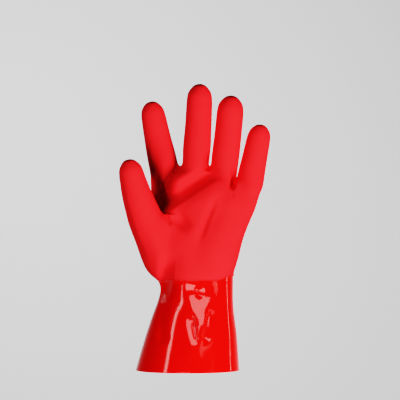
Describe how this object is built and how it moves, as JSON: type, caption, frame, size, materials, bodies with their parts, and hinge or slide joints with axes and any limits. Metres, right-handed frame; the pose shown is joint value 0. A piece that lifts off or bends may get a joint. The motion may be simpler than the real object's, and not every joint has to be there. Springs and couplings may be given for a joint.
{
  "type": "work glove",
  "caption": "Left-hand gauntlet work glove of PVC: sand-finish coated hand with spread, slightly curled fingers and a smooth flared cuff, hollow from hem to fingertips.",
  "frame": {"origin": "centre of the cuff's hem, in the plane of its cut edge, where the hand goes in", "axes": "+Z from the hem to the fingertips, -Y to the palm's side, +Y to the back of the hand, -X to the thumb and +X to the little finger"},
  "size_m": [0.1576, 0.0993, 0.2999],
  "materials": {
    "sand_finish_pvc": "matte red PVC with a fine sand-like grain over a knitted former",
    "smooth_pvc": "smooth, wet-looking red PVC with soft folds"
  },
  "bodies": {
    "root": {"coated_hand": "sand_finish_pvc", "gauntlet_cuff": "smooth_pvc"}
  },
  "joints": []
}
